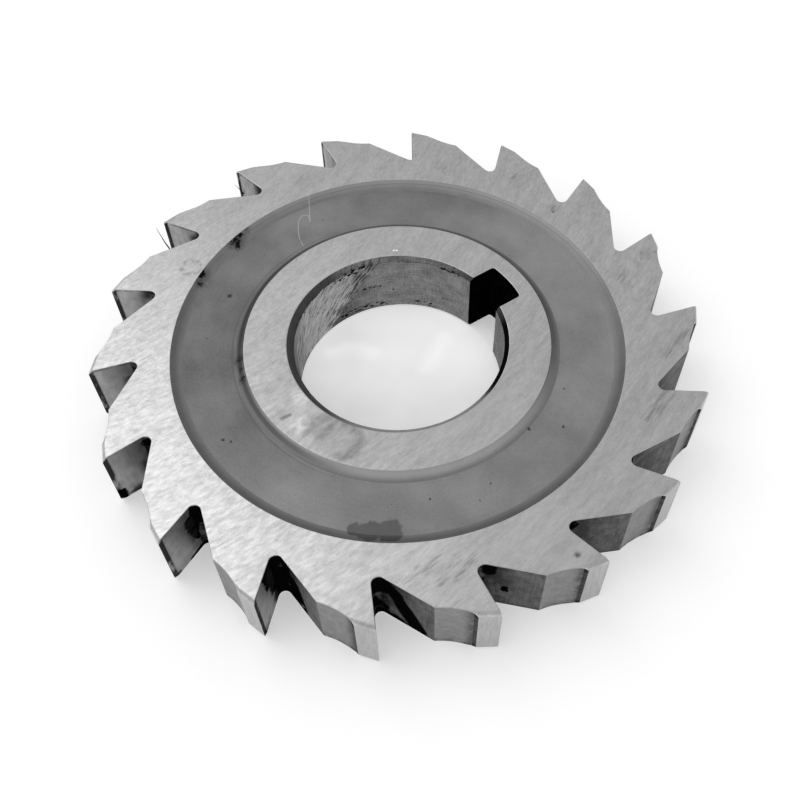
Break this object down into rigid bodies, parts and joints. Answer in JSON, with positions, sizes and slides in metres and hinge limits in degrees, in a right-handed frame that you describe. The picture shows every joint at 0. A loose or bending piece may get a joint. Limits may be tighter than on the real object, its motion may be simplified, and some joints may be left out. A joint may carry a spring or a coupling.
{
  "type": "slotting cutter",
  "caption": "Disc slotting cutter for a milling arbor: straight undercut teeth round the edge, recessed sides, a ground hub and a bore with one keyway.",
  "frame": {"origin": "on the bore axis, in the plane of the lower hub face and tooth tips that it lies on", "axes": "+Z along the bore axis, up through the upper side face; +X through the middle of the keyway"},
  "size_m": [0.0796, 0.0798, 0.01],
  "materials": {
    "cutter_steel": "ground side faces and tooth lands, dark turned recesses, stained gullets"
  },
  "bodies": {
    "root": {"slotting_cutter": "cutter_steel"}
  },
  "joints": []
}
